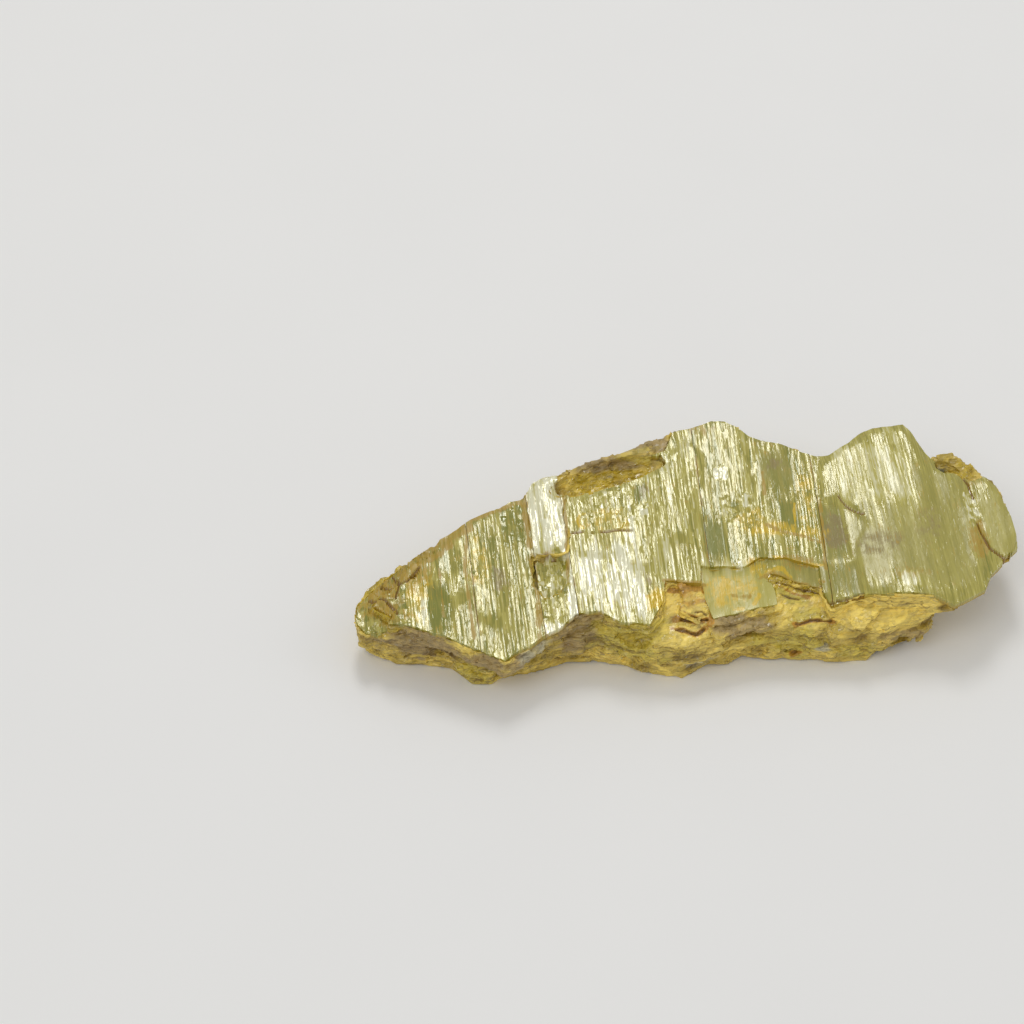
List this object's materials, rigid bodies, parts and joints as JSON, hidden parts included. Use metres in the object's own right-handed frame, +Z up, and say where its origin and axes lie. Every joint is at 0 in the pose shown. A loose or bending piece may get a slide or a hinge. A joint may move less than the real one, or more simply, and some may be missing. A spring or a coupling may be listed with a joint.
{
  "type": "orpiment specimen",
  "caption": "Hand specimen of foliated orpiment: a leaning striated greenish-gold cleavage face over ragged ochre and brown broken edges.",
  "frame": {"origin": "middle of the bounding box in plan, at the ground that the flat underside rests on", "axes": "+X along the specimen, from its narrow end to its broad end, +Y away from the low front edge of the cleavage face, +Z up"},
  "size_m": [0.0602, 0.0284, 0.0093],
  "materials": {
    "orpiment": "pearly striated cleavage, earthy on the broken edges"
  },
  "bodies": {
    "root": {"orpiment_specimen": "orpiment"}
  },
  "joints": []
}
